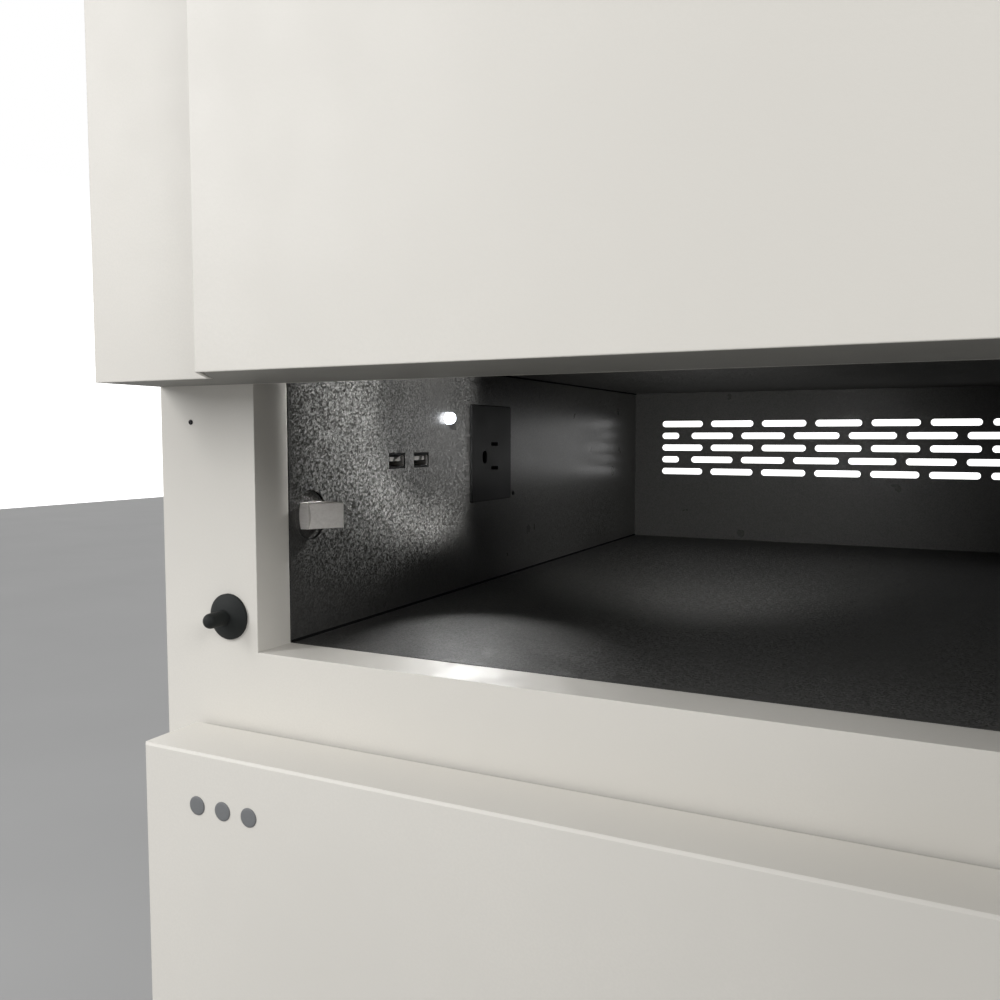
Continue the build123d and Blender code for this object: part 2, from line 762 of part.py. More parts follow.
pin_engagement = 9
with BuildPart() as hinge_pins:
    for place, low_z in enumerate(pivot_lows):
        start = low_z if place == 0 else low_z - pin_engagement
        end = low_z + pivot_plate_thickness
        if place < bay_count:
            end += pin_engagement
        with BuildSketch(Plane.XY.offset(start)):
            with Locations((hinge_x, hinge_y)):
                Circle(hinge_pin_radius)
        extrude(amount=end - start)
hinge_pins.part.label = "hinge_pins"
export_step(hinge_pins.part, "parts/hinge_pins.step")

# ==== electronics =================================================================================
supply_z = foot_height + base_sheet
supply_centre = (60, 40)
supply_size = (215, 115)
supply_height = 30
supply_edge = 2
groove_size = (70, 4)
groove_pitch = 14
groove_count = 12
groove_depth = 2
with BuildPart() as power_supply:
    with BuildSketch(Plane.XY.offset(supply_z)):
        with Locations(supply_centre):
            Rectangle(*supply_size)
    extrude(amount=supply_height)
    chamfer(power_supply.edges().filter_by(Axis.Z), supply_edge)
    with BuildSketch(Plane.XY.offset(supply_z + supply_height - groove_depth)):
        with Locations(supply_centre):
            with GridLocations(groove_pitch, 0, groove_count, 1):
                SlotOverall(*groove_size, rotation=90)
    extrude(amount=groove_depth, mode=Mode.SUBTRACT)
power_supply.part.label = "power_supply"
export_step(power_supply.part, "parts/power_supply.step")

board_x = -half_width + sheet + 5
board_centre = (20, 330)
board_size = (110, 180)
board_thickness = 1.6
chip_size = 28
relay_size = (10, 22)
relay_height = 5
with BuildPart() as controller_board:
    with BuildSketch(at_x(board_x)):
        with Locations(board_centre):
            RectangleRounded(*board_size, 4)
            with GridLocations(board_size[0] - 10, board_size[1] - 10, 2, 2):
                Circle(1.6, mode=Mode.SUBTRACT)
    extrude(amount=board_thickness)
    with BuildSketch(at_x(board_x + board_thickness)):
        with Locations(board_centre):
            Rectangle(chip_size, chip_size)
            with GridLocations(84, 36, 2, 4):
                Rectangle(*relay_size)
    extrude(amount=relay_height)
controller_board.part.label = "controller_board"
export_step(controller_board.part, "parts/controller_board.step")

loom_x = -168
loom_y = 130
loom_radius = 5
loom_height = 640
branch_radius = 2.5
branch_end_y = 20
with BuildPart() as wiring_loom:
    with BuildSketch(Plane.XY.offset(supply_z + 4)):
        with Locations((loom_x, loom_y)):
            Circle(loom_radius)
    extrude(amount=loom_height)
    for floor in bay_floors:
        with BuildSketch(at_y(loom_y)):
            with Locations((loom_x, floor + usb_rise)):
                Circle(branch_radius)
        extrude(amount=loom_y - branch_end_y)
wiring_loom.part.label = "wiring_loom"
export_step(wiring_loom.part, "parts/wiring_loom.step")

inlet_mouth = (24.5, 16.5)
inlet_proud = 2
inlet_corner = 4
inlet_depth = 22
cavity_depth = 17
pin_size = (2, 4)
pin_length = 16
rocker_window = (21, 13)
rocker_axis_bore = 1.55
rocker_axis_length = 26
with BuildPart() as mains_inlet:
    with BuildSketch(at_y(rear_y + inlet_proud)):
        with Locations((inlet_x, inlet_flange_z)):
            RectangleRounded(*inlet_flange, inlet_corner)
    extrude(amount=inlet_proud)
    with BuildSketch(at_y(rear_y)):
        with Locations((inlet_x, inlet_flange_z)):
            Rectangle(*inlet_body)
    extrude(amount=inlet_depth)
    with BuildSketch(at_y(rear_y + inlet_proud)):
        with Locations((inlet_x, inlet_z)):
            Rectangle(*inlet_mouth)
        with Locations((inlet_x, rocker_z)):
            Rectangle(*rocker_window)
    extrude(amount=cavity_depth, mode=Mode.SUBTRACT)
    with BuildSketch(at_y(rear_y + 1)):
        with Locations((inlet_x - 7, inlet_z - 2), (inlet_x + 7, inlet_z - 2), (inlet_x, inlet_z + 2)):
            Rectangle(*pin_size)
    extrude(amount=pin_length)
    with BuildSketch(at_x(inlet_x - rocker_axis_length / 2 - 1)):
        with Locations((rocker_y, rocker_z)):
            Circle(rocker_axis_bore)
    extrude(amount=rocker_axis_length + 2, mode=Mode.SUBTRACT)
mains_inlet.part.label = "mains_inlet"
export_step(mains_inlet.part, "parts/mains_inlet.step")

rocker_width = 20.2
rocker_half = 5.4
with BuildPart() as rocker:
    with BuildSketch(at_x(inlet_x - rocker_width / 2)):
        with BuildLine():
            Polyline((rocker_y - 4, rocker_z - rocker_half + 1.4), (rocker_y + 5.6, rocker_z - rocker_half),
                     (rocker_y + 4.4, rocker_z), (rocker_y + 5.6, rocker_z + rocker_half),
                     (rocker_y - 4, rocker_z + rocker_half - 1.4), close=True)
        make_face()
    extrude(amount=rocker_width)
    with BuildSketch(at_x(inlet_x - rocker_axis_length / 2)):
        with Locations((rocker_y, rocker_z)):
            Circle(rocker_axis_bore - 0.05)
    extrude(amount=rocker_axis_length)
power_rocker = rocker.part.rotate(Axis((inlet_x, rocker_y, rocker_z), (1, 0, 0)), rocker_tilt)
power_rocker.label = "power_rocker"
export_step(power_rocker, "parts/power_rocker.step")

# ==== screws ======================================================================================
head_radius = 3
head_height = 1.6
screw_inset = 9
rear_screw_zs = (104, 270, 436, 602, 768)
tray_screw_spacing = 200
tray_screw_z = 27
top_screw_spacing = (2 * half_width - 26, 380)
with BuildPart() as panel_screws:
    with BuildSketch(at_y(rear_y + head_height)):
        for x in (-half_width + screw_inset, half_width - screw_inset):
            for z in rear_screw_zs:
                with Locations((x, z)):
                    Circle(head_radius)
        with Locations((0, tray_screw_z)):
            with GridLocations(tray_screw_spacing, 0, 2, 1):
                Circle(head_radius)
    extrude(amount=head_height)
    with BuildSketch(at_x(bay_left)):
        for floor in bay_floors:
            with Locations((wall_screw_y, floor + wall_screw_rise)):
                Circle(1.2)
    extrude(amount=0.6)
    with BuildSketch(at_y(front_y)):
        for floor in bay_floors:
            with Locations((door_left - 2.4, floor + 81.9)):
                Circle(0.9)
    extrude(amount=0.5)
    with BuildSketch(Plane.XY.offset(top_z)):
        with GridLocations(*top_screw_spacing, 2, 2):
            Circle(head_radius)
    extrude(amount=head_height)
panel_screws.part.label = "panel_screws"
export_step(panel_screws.part, "parts/panel_screws.step")
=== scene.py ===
"""Looks for the phone charging kiosk.

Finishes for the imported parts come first, then the small added hardware, the light, the stage and the camera.
"""
import json
import math

import bmesh
import bpy
from mathutils import Matrix, Vector


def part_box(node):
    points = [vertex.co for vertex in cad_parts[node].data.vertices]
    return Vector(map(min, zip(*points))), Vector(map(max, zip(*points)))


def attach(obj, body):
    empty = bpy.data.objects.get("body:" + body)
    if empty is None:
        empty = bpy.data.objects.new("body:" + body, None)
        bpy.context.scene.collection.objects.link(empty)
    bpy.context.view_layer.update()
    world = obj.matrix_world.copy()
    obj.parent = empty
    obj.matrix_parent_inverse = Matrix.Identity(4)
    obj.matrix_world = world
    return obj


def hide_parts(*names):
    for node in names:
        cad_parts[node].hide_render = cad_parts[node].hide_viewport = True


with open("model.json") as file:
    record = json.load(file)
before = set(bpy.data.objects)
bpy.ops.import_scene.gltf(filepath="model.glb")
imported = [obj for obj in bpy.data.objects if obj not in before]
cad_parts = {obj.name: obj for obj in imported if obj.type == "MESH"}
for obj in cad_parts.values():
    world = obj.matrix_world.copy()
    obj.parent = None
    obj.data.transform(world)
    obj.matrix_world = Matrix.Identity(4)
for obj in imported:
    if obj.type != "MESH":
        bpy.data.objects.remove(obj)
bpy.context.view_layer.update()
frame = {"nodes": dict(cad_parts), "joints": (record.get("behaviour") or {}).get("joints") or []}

MM = 0.001
NODES = frame["nodes"]
BAYS = (1, 2, 3, 4)

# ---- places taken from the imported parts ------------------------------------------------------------
wall_low, wall_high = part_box("liner_wall_left")
WALL_X = wall_high.x
floor_tops = {}
for bay in BAYS:
    pan = "floor_pan_1" if bay == 1 else f"shelf_pan_{bay}"
    floor_tops[bay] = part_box(pan)[1].z
BACK_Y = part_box("rear_panel")[0].y
RIGHT_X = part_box("liner_wall_right")[0].x
MID_X = (WALL_X + RIGHT_X) / 2
BAY_HEIGHT = 110.3 * MM
LATCH_RISE = 46.7 * MM          # the latch's middle, above a bay's floor


# ---- node helpers ----------------------------------------------------------------------------------
class Tree:
    """A node tree with short ways to add and join nodes."""

    def __init__(self, tree):
        self.tree = tree
        self.nodes = tree.nodes
        self.links = tree.links

    def put(self, socket, value):
        if isinstance(value, bpy.types.NodeSocket):
            self.links.new(value, socket)
        else:
            socket.default_value = value

    def add(self, kind, inputs=None, **settings):
        node = self.nodes.new(kind)
        for key, value in settings.items():
            setattr(node, key, value)
        for key, value in (inputs or {}).items():
            self.put(node.inputs[key], value)
        return node

    def math(self, operation, a, b=0.0, c=0.0):
        node = self.add("ShaderNodeMath", operation=operation)
        for socket, value in zip(node.inputs, (a, b, c)):
            self.put(socket, value)
        return node.outputs[0]

    def mix(self, factor, a, b):
        node = self.add("ShaderNodeMix", data_type="RGBA")
        self.put(node.inputs[0], factor)
        self.put(node.inputs[6], a)
        self.put(node.inputs[7], b)
        return node.outputs[2]

    def noise(self, vector, scale, detail=2.0, roughness=0.5):
        inputs = {"Vector": vector, "Scale": scale, "Detail": detail, "Roughness": roughness}
        return self.add("ShaderNodeTexNoise", inputs).outputs["Fac"]

    def cells(self, vector, scale, output="Color", feature="F1"):
        node = self.add("ShaderNodeTexVoronoi", {"Vector": vector, "Scale": scale}, feature=feature)
        return node.outputs[output]

    def ramp(self, factor, stops, smooth=True):
        """A grey ramp: stops are (place, value)."""
        node = self.add("ShaderNodeValToRGB", {"Fac": factor})
        node.color_ramp.interpolation = "EASE" if smooth else "LINEAR"
        points = node.color_ramp.elements
        while len(points) < len(stops):
            points.new(0.5)
        for point, (place, value) in zip(points, stops):
            point.position = place
            point.color = (value, value, value, 1)
        return node.outputs["Color"]

    def bump(self, height, distance, normal=None, strength=1.0):
        inputs = {"Height": height, "Distance": distance, "Strength": strength}
        if normal is not None:
            inputs["Normal"] = normal
        return self.add("ShaderNodeBump", inputs).outputs["Normal"]


class Finish(Tree):
    """A material being made, with its shader and its object coordinates, which are row-frame metres."""

    def __init__(self, name):
        self.material = bpy.data.materials.new(name)
        self.material.use_nodes = True
        super().__init__(self.material.node_tree)
        self.shader = self.nodes["Principled BSDF"]
        self.place = self.add("ShaderNodeTexCoord").outputs["Object"]

    def set(self, **sockets):
        names = {"base": "Base Color", "rough": "Roughness", "metal": "Metallic", "normal": "Normal",
                 "specular": "Specular IOR Level", "coat": "Coat Weight", "coat_rough": "Coat Roughness",
                 "coat_normal": "Coat Normal",
                 "ior": "IOR", "sheen": "Sheen Weight", "anisotropic": "Anisotropic",
                 "glow": "Emission Color", "glow_strength": "Emission Strength"}
        for key, value in sockets.items():
            self.put(self.shader.inputs[names[key]], value)

    def rounded(self, radius):
        """The normal with its hard edges rounded off."""
        return self.add("ShaderNodeBevel", {"Radius": radius}, samples=4).outputs["Normal"]

    def edges(self, radius):
        """1 along hard edges, 0 on flat faces."""
        soft = self.rounded(radius)
        true = self.add("ShaderNodeNewGeometry").outputs["Normal"]
        dot = self.add("ShaderNodeVectorMath", {0: soft, 1: true}, operation="DOT_PRODUCT").outputs["Value"]
        return self.ramp(dot, [(0.80, 1), (0.985, 0)])


def grey(value, warm=1.0, cool=1.0):
    return (value * warm, value, value * cool, 1)


def powder_coat(name, colour, rough, peel, peel_scale=650, edge=0.06, fleck=0.0):
    """Sprayed and baked paint: orange peel, a faint mottle, and a lighter tone along the edges, partly a
    thinner coat there and partly a painted edge highlight.
    """
    f = Finish(name)
    dark = tuple(c * (0.975 - fleck) for c in colour[:3]) + (1,)
    light = tuple(min(1.0, c * 1.012) for c in colour[:3]) + (1,)
    mottle = f.noise(f.place, 9, 4.0, 0.6)
    shade = f.mix(f.ramp(mottle, [(0.35, 0), (0.65, 1)]), dark, light)
    grain = f.noise(f.place, 1300, 2.0)
    shade = f.mix(f.math("MULTIPLY", f.ramp(grain, [(0.40, 1), (0.60, 0)]), 0.5), shade, dark)
    # Lighter along every hard edge: thinner paint there, and also a painted highlight on the edges.
    worn_highlit = tuple(min(1.0, c * 1.10 + 0.01) for c in colour[:3]) + (1,)
    shade = f.mix(f.math("MULTIPLY", f.edges(0.5 * MM), edge * 8), shade, worn_highlit)
    peel_height = f.noise(f.place, peel_scale, 3.0, 0.55)
    fine_height = f.noise(f.place, 2400, 2.0)
    normal = f.bump(peel_height, peel, f.rounded(0.5 * MM))
    normal = f.bump(fine_height, peel * 0.3, normal)
    rough_here = f.math("ADD", f.math("MULTIPLY", f.noise(f.place, 40, 3.0), 0.16), rough - 0.08)
    f.set(base=shade, rough=rough_here, normal=normal, specular=0.5)
    return f.material


GRAIN = 1450          # grains of the sand texture in a metre
FINE_GRAIN = 2600


def liner_paint(name, colour, rough, coat, tilt=0.62, seed=3.0):
    """Charcoal sand-texture coat: each grain leans its own way, which shows where a light rakes over it.

    The grains carry the colour, and a smoother clear layer over them carries the reflections.
    """
    f = Finish(name)
    base = tuple(c * 0.84 for c in colour[:3]) + (1,)
    light = tuple(c * 1.36 for c in colour[:3]) + (1,)
    place = f.add("ShaderNodeVectorMath", {0: f.place, 1: (seed, seed, seed)}).outputs["Vector"]
    grain = f.noise(place, 1500, 3.0, 0.65)
    broad = f.noise(place, 9, 3.0)
    fleck = f.add("ShaderNodeSeparateColor", {"Color": f.cells(place, GRAIN)}).outputs[0]
    shade = f.mix(f.ramp(grain, [(0.36, 0), (0.64, 1)]), base, light)
    shade = f.mix(f.ramp(fleck, [(0.55, 0.0), (1.0, 0.6)]), shade, light)
    shade = f.mix(f.ramp(broad, [(0.3, 0.0), (0.7, 0.14)]), shade, light)
    round_normal = f.rounded(0.5 * MM)
    lean = Vector((0.5, 0.5, 0.5))
    coarse = f.add("ShaderNodeVectorMath", {0: f.cells(place, GRAIN), 1: lean}, operation="SUBTRACT")
    fine = f.add("ShaderNodeVectorMath", {0: f.cells(place, FINE_GRAIN), 1: lean}, operation="SUBTRACT")
    both = f.add("ShaderNodeVectorMath", {0: coarse.outputs[0], 1: fine.outputs[0]}, operation="ADD")
    leaning = f.add("ShaderNodeVectorMath", {0: both.outputs[0], "Scale": tilt}, operation="SCALE")
    summed = f.add("ShaderNodeVectorMath", {0: round_normal, 1: leaning.outputs[0]}, operation="ADD")
    normal = f.add("ShaderNodeVectorMath", {0: summed.outputs[0]}, operation="NORMALIZE").outputs[0]
    satin = f.bump(f.noise(place, 420, 2.0), 0.012 * MM, round_normal)
    coat_rough = f.math("ADD", f.math("MULTIPLY", f.noise(place, 60, 3.0), 0.08), rough - 0.04)
    f.set(base=shade, rough=0.7, normal=normal, specular=0.12,
          coat=coat, coat_rough=coat_rough, coat_normal=satin)
    return f.material


def satin_metal(name, colour, rough, grain_scale, stretch, grain=0.03, anisotropic=0.3, metal=1.0):
    """Plated or milled metal: a directional grain, small handling marks, and a painted highlight along the
    edges.
    """
    f = Finish(name)
    mapping = f.add("ShaderNodeMapping", {"Vector": f.place, "Scale": stretch})
    lines = f.noise(mapping.outputs["Vector"], grain_scale, 3.0, 0.6)
    dull = tuple(c * 0.80 for c in colour[:3]) + (1,)
    bright = tuple(min(1.0, c * 1.12) for c in colour[:3]) + (1,)
    shade = f.mix(lines, dull, bright)
    # Painted highlight: every hard edge is mixed toward the bright tone.
    shade = f.mix(f.math("MULTIPLY", f.edges(0.3 * MM), 0.5), shade, bright)
    marks = f.noise(f.place, 120, 4.0, 0.7)
    rough_here = f.math("ADD", f.math("MULTIPLY", marks, 0.22), rough - 0.11)
    normal = f.bump(lines, grain * MM, f.rounded(0.35 * MM))
    f.set(base=shade, metal=metal, rough=rough_here, normal=normal, anisotropic=anisotropic)
    return f.material


def zinc_plate(name, colour, rough):
    """Bright zinc plate with its faint crystal patches."""
    f = Finish(name)
    patches = f.cells(f.place, 380, "Color")
    tone = f.add("ShaderNodeSeparateColor", {"Color": patches}).outputs[0]
    dull = tuple(c * 0.78 for c in colour[:3]) + (1,)
    bright = tuple(min(1.0, c * 1.15) for c in colour[:3]) + (1,)
    shade = f.mix(tone, dull, bright)
    rough_here = f.math("ADD", f.math("MULTIPLY", tone, 0.14), rough - 0.07)
    normal = f.bump(f.noise(f.place, 900, 3.0), 0.03 * MM, f.rounded(0.3 * MM))
    f.set(base=shade, metal=1.0, rough=rough_here, normal=normal)
    return f.material


def moulding(name, colour, rough, texture_scale, texture, specular=0.5, edge=0.3):
    """Moulded plastic or rubber with an eroded-tool texture and rubbed edges."""
    f = Finish(name)
    base = tuple(colour[:3]) + (1,)
    rubbed = tuple(c * 1.9 + 0.004 for c in colour[:3]) + (1,)
    cloud = f.noise(f.place, 55, 4.0, 0.6)
    shade = f.mix(f.ramp(cloud, [(0.35, 0), (0.75, 0.3)]), base, rubbed)
    shade = f.mix(f.math("MULTIPLY", f.edges(0.4 * MM), edge), shade, rubbed)
    height = f.noise(f.place, texture_scale, 2.0, 0.6)
    normal = f.bump(height, texture * MM, f.rounded(0.35 * MM))
    rough_here = f.math("ADD", f.math("MULTIPLY", cloud, 0.18), rough - 0.09)
    f.set(base=shade, rough=rough_here, normal=normal, specular=specular)
    return f.material


def screen_glass(name):
    """Black-backed glass with a clear hard coat and the faintest finger marks."""
    f = Finish(name)
    marks = f.noise(f.place, 38, 5.0, 0.65)
    depth = f.mix(f.ramp(marks, [(0.45, 0), (0.8, 1)]), grey(0.006), grey(0.012, 0.9, 1.2))
    rough_here = f.ramp(marks, [(0.45, 0.035), (0.78, 0.16)])
    normal = f.bump(f.noise(f.place, 6, 1.0), 0.02 * MM, f.rounded(0.5 * MM))
    f.set(base=depth, rough=rough_here, normal=normal, coat=0.6, coat_rough=0.03)
    return f.material


def circuit(name):
    """Green solder mask over copper tracks, with a scatter of tinned pads."""
    f = Finish(name)
    tracks = f.add("ShaderNodeTexBrick", {"Vector": f.place, "Scale": 160.0, "Mortar Size": 0.06,
                                          "Brick Width": 0.9, "Row Height": 0.22})
    mask = f.mix(tracks.outputs["Fac"], (0.01, 0.09, 0.035, 1), (0.03, 0.19, 0.08, 1))
    pads = f.ramp(f.cells(f.place, 210, "Distance"), [(0.10, 1), (0.16, 0)], smooth=False)
    shade = f.mix(pads, mask, grey(0.6, 1.0, 0.95))
    height = f.math("ADD", tracks.outputs["Fac"], pads)
    f.set(base=shade, metal=pads, rough=0.38, normal=f.bump(height, 0.05 * MM))
    return f.material


def lamp_lens(name):
    """A lit clear lens: hottest where it faces the eye, a little cooler round its rim."""
    f = Finish(name)
    facing = f.add("ShaderNodeLayerWeight", {"Blend": 0.35}).outputs["Facing"]
    tone = f.mix(facing, (1, 1, 1, 1), (0.80, 0.88, 1.0, 1))
    grain = f.noise(f.place, 900, 2.0)
    f.set(base=(0.9, 0.93, 1.0, 1), rough=0.2, glow=tone, glow_strength=7.0,
          normal=f.bump(grain, 0.02 * MM))
    return f.material


def glowing(name, colour, strength):
    """A lit patch behind the screen glass, with the fine pixel grid of a display."""
    f = Finish(name)
    grid = f.cells(f.place, 2400, "Distance")
    dim = tuple(c * 0.86 for c in colour[:3]) + (1,)
    shade = f.mix(f.ramp(grid, [(0.2, 1), (0.6, 0)]), dim, tuple(colour[:3]) + (1,))
    f.set(base=shade, rough=0.25, glow=shade, glow_strength=strength)
    return f.material


FINISHES = {
    "light_paint": powder_coat("paint_warm_white", (0.690, 0.667, 0.618), 0.46, 0.03 * MM),
    "liner_coat": liner_paint("coat_charcoal", (0.052, 0.0515, 0.049), 0.29, 1.0),
    # Painted shade: the hood's underside gets a dark grey coat, darker than the paint round it, for the shade
    # under the hood.
    "soffit_coat": powder_coat("coat_dark_grey_painted_shade", (0.250, 0.246, 0.228), 0.55, 0.06 * MM, 900, 0.03, 0.12),
    "satin_nickel": satin_metal("nickel_satin", (0.92, 0.87, 0.835), 0.50, 900, (0.25, 1, 1), metal=0.2),
    "zinc_steel": zinc_plate("zinc_plate", (0.48, 0.49, 0.50), 0.34),
    "black_rubber": moulding("rubber_black", (0.010, 0.0118, 0.0114), 0.66, 1500, 0.05, 0.3),
    "black_plastic": moulding("plastic_black", (0.006, 0.006, 0.006), 0.46, 1300, 0.04, 0.32),
    "screen_glass": screen_glass("glass_screen"),
    "circuit_board": circuit("board_green"),
    "bare_aluminium": satin_metal("aluminium_mill", (0.60, 0.61, 0.62), 0.40, 700, (1, 0.06, 1)),
    "lamp_lens": lamp_lens("lens_lit"),
}
BRASS = satin_metal("brass_contact", (0.78, 0.58, 0.30), 0.28, 1200, (0.2, 1, 1), 0.01)
TIN = satin_metal("shell_tinned", (0.86, 0.82, 0.79), 0.42, 1100, (0.2, 1, 1), 0.01, metal=0.5)
TONGUE_GREY = moulding("tongue_grey", (0.13, 0.127, 0.12), 0.5, 1600, 0.02)
SHELF_COAT = liner_paint("coat_charcoal_shelf", (0.052, 0.0515, 0.049), 0.46, 0.28, seed=7.0)
# Painted light: a lighter copy of the charcoal coat, for the top bay's ceiling.
CEILING_COAT_PAINTED_LIGHT = liner_paint("coat_charcoal_ceiling_painted_light", (0.150, 0.148, 0.143), 0.5, 0.28, seed=11.0)
# Black for the seam beads, and also the painted shade inside the USB shells.
SEAL_AND_SHADE_BLACK = moulding("seal_black_and_shell_shade", (0.004, 0.004, 0.004), 0.85, 1500, 0.05, 0.1)
# Black oxide for the small screws; also the painted shade of the card slot.
BLACK_OXIDE_AND_SLOT_SHADE = satin_metal("screw_black_oxide_and_slot_shade", (0.045, 0.045, 0.048), 0.45, 1500, (1, 1, 1), 0.01)
MARK_GREY = powder_coat("mark_grey", (0.16, 0.165, 0.17), 0.5, 0.02 * MM, 1200, 0.02)
MARK_WHITE = moulding("mark_white", (0.70, 0.70, 0.69), 0.5, 1600, 0.02)
TILE_BLUE = glowing("tile_blue", (0.10, 0.30, 0.62), 0.9)
TILE_PALE = glowing("tile_pale", (0.75, 0.80, 0.84), 0.8)
READY_GREEN = glowing("lamp_green", (0.10, 0.75, 0.25), 2.0)
# The top bay's ceiling has a lighter coat than the shelves only to match the tone of the photograph: it is the
# same coat, so the lighter colour is painted light.
for name, node in NODES.items():
    for place in node.material_slots:
        place.material = FINISHES[place.material.name.split(".")[0]]
        if name.startswith("ceiling_pan"):
            place.material = CEILING_COAT_PAINTED_LIGHT
        elif "_pan_" in name:
            place.material = SHELF_COAT


# ---- mesh helpers ------------------------------------------------------------------------------------
def piece(name, mesh_code, finishes, body):
    """An object from finished mesh code, riding on a body; finishes are its materials in index order."""
    mesh = bpy.data.meshes.new(name)
    bmesh.ops.recalc_face_normals(mesh_code, faces=mesh_code.faces)
    mesh_code.to_mesh(mesh)
    mesh_code.free()
    obj = bpy.data.objects.new(name, mesh)
    bpy.context.scene.collection.objects.link(obj)
    for finish in finishes:
        mesh.materials.append(finish)
    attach(obj, body)
    return obj


def loft(code, loops, material=0, capped=False):
    """Skins a list of loops of points; the last loop joins the first unless the ends are capped."""
    rings = [[code.verts.new(point) for point in loop] for loop in loops]
    count = len(rings[0])
    pairs = list(zip(rings, rings[1:]))
    if not capped:
        pairs.append((rings[-1], rings[0]))
    for ring, following in pairs:
        for k in range(count):
            nxt = (k + 1) % count
            code.faces.new((ring[k], ring[nxt], following[nxt], following[k])).material_index = material
    if capped:
        code.faces.new(rings[0][::-1]).material_index = material
        code.faces.new(rings[-1]).material_index = material


def round_rectangle(half_u, half_v, corner, steps=4):
    """(u, v) points anticlockwise round a rectangle with round corners."""
    points = []
    for turn, (su, sv) in enumerate(((1, 1), (-1, 1), (-1, -1), (1, -1))):
        for step in range(steps + 1):
            angle = math.radians(90 * (turn + step / steps))
            points.append((su * (half_u - corner) + corner * math.cos(angle),
                           sv * (half_v - corner) + corner * math.sin(angle)))
    return points


def axes_for(facing):
    """Two directions that span the plane that faces along the given axis."""
    out = Vector(facing).normalized()
    side = out.orthogonal().normalized()
    if abs(out.z) < 0.9:
        side = Vector((0, 0, 1)).cross(out).normalized()
    return side, out.cross(side), out


def pad(code, centre, facing, half_u, half_v, height, corner, edge, material=0, spin=0.0):
    """A thin tile with round corners and a rounded front edge, standing on a surface that faces one way."""
    side, up, out = axes_for(facing)
    if spin:
        turned = Matrix.Rotation(spin, 3, out)
        side, up = turned @ side, turned @ up
    centre = Vector(centre)
    levels = [(0.0, 0.0), (0.0, height - edge)]
    levels += [(edge * (1 - math.cos(a)), height - edge + edge * math.sin(a))
               for a in (math.radians(30), math.radians(60), math.radians(90))]
    loops = []
    for inset, rise in levels:
        outline = round_rectangle(half_u - inset, half_v - inset, max(corner - inset, corner * 0.2))
        loops.append([centre + side * u + up * v + out * rise for u, v in outline])
    loft(code, loops, material, capped=True)


def dot(code, centre, facing, radius, height, material=0, segments=28):
    """A domed round mark."""
    side, up, out = axes_for(facing)
    centre = Vector(centre)
    levels = [(1.0, 0.0), (1.0, 0.45), (0.93, 0.75), (0.75, 0.93), (0.4, 1.0)]
    loops = []
    for share, rise in levels:
        ring = []
        for k in range(segments):
            angle = math.tau * k / segments
            ring.append(centre + radius * share * (side * math.cos(angle) + up * math.sin(angle))
                        + out * (rise * height))
        loops.append(ring)
    loft(code, loops, material, capped=True)


def socket_screw(code, centre, facing, radius, height, material=0, segments=36):
    """A button-head screw with a hexagon socket, standing on a surface."""
    side, up, out = axes_for(facing)
    centre = Vector(centre)
    flat = radius * 0.46

    def hexagon(angle):
        return flat / math.cos((angle + math.pi / 6) % (math.pi / 3) - math.pi / 6)

    levels = [(lambda a: radius, 0.0), (lambda a: radius, 0.25), (lambda a: radius * 0.95, 0.6),
              (lambda a: radius * 0.82, 0.88), (lambda a: radius * 0.66, 1.0),
              (lambda a: hexagon(a) * 1.04, 1.0), (hexagon, 0.93), (hexagon, 0.3)]
    loops = []
    for reach, rise in levels:
        loops.append([centre + reach(math.tau * k / segments)
                      * (side * math.cos(math.tau * k / segments) + up * math.sin(math.tau * k / segments))
                      + out * (rise * height) for k in range(segments)])
    loft(code, loops, material, capped=True)


def islands(mesh):
    """(lowest corner, highest corner) of each connected part of a mesh."""
    code = bmesh.new()
    code.from_mesh(mesh)
    bmesh.ops.remove_doubles(code, verts=code.verts, dist=0.01 * MM)
    left = set(code.verts)
    boxes = []
    while left:
        stack = [left.pop()]
        found = list(stack)
        while stack:
            vert = stack.pop()
            for edge in vert.link_edges:
                other = edge.other_vert(vert)
                if other in left:
                    left.remove(other)
                    stack.append(other)
                    found.append(other)
        low = Vector([min(v.co[axis] for v in found) for axis in range(3)])
        high = Vector([max(v.co[axis] for v in found) for axis in range(3)])
        boxes.append((low, high))
    code.free()
    boxes.sort(key=lambda pair: tuple(round(value, 5) for value in pair[0]))
    return boxes


# ---- fasteners ---------------------------------------------------------------------------------------
PANEL_HEAD = 2.5 * MM
screws = bmesh.new()
for low, high in islands(NODES["panel_screws"].data):
    size = high - low
    axis = min(range(3), key=lambda k: size[k])
    centre = (low + high) / 2
    facing = Vector((0, 0, 0))
    if axis == 0:
        facing.x = 1
    elif axis == 1:
        facing.y = 1 if centre.y > 0 else -1
    else:
        facing.z = 1
    base = centre - facing * size[axis] / 2
    radius = max(size) / 2
    socket_screw(screws, base, facing, radius, size[axis], 0 if radius > PANEL_HEAD else 1)
heads = piece("panel_screw_heads", screws, [FINISHES["zinc_steel"], BLACK_OXIDE_AND_SLOT_SHADE], "cabinet")
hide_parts("panel_screws")


